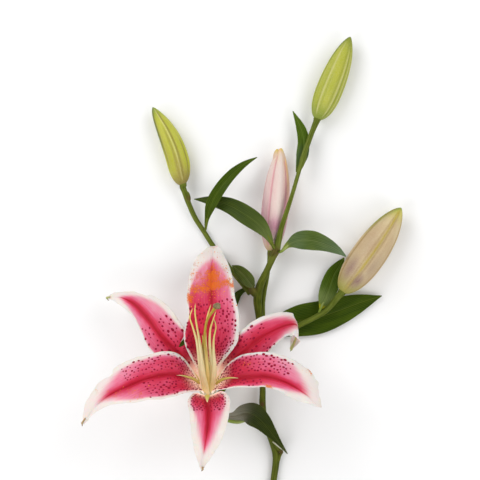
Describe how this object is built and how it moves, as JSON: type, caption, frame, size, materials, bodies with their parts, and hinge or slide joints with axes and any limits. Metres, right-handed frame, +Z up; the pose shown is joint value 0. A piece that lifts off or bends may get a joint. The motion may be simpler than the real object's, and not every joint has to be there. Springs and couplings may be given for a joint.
{
  "type": "cut lily",
  "caption": "Cut lily lying flat: a wide open spotted pink flower with white margins, closed buds on side stalks, dark strap leaves and a slim bare stem.",
  "frame": {"origin": "bottom centre of the whole part's bounding box, on the surface it lies on", "axes": "+Y from the cut stem end towards the buds, +Z up from the surface towards the open flower's face, +X to the right when seen from above"},
  "size_m": [0.2482, 0.4088, 0.094],
  "materials": {
    "stem_green": "satin green stem skin",
    "leaf_green": "satin dark green leaf",
    "tepal_inner_pink": "velvety pink petal with white margins and dark spots",
    "tepal_outer_pink": "velvety pink petal with white margins",
    "bud_green": "waxy yellow-green bud",
    "bud_pink": "waxy pale pink bud",
    "bud_cream": "waxy cream bud flushed pink",
    "filament_pale": "smooth pale filament",
    "pistil_green": "smooth green style"
  },
  "bodies": {
    "root": {"bud_left_green": "bud_green", "bud_pink": "bud_pink", "bud_right_cream": "bud_cream", "bud_top_green": "bud_green", "filament_1": "filament_pale", "filament_2": "filament_pale", "filament_3": "filament_pale", "filament_4": "filament_pale", "filament_5": "filament_pale", "filament_6": "filament_pale", "leaf_behind_flower": "leaf_green", "leaf_folded": "leaf_green", "leaf_large": "leaf_green", "leaf_left_stalk": "leaf_green", "leaf_over_pink_bud": "leaf_green", "leaf_right_stalk": "leaf_green", "leaf_short_left": "leaf_green", "leaf_spike": "leaf_green", "leaf_top_stalk": "leaf_green", "leaf_upper_right": "leaf_green", "left_bud_stalk": "stem_green", "main_stem": "stem_green", "open_flower_stalk": "stem_green", "pink_bud_stalk": "stem_green", "pistil": "pistil_green", "right_bud_stalk": "stem_green", "tepal_inner_left": "tepal_inner_pink", "tepal_inner_right": "tepal_inner_pink", "tepal_inner_top": "tepal_inner_pink", "tepal_outer_bottom": "tepal_outer_pink", "tepal_outer_left": "tepal_outer_pink", "tepal_outer_right": "tepal_outer_pink", "top_bud_stalk": "stem_green"}
  },
  "joints": []
}
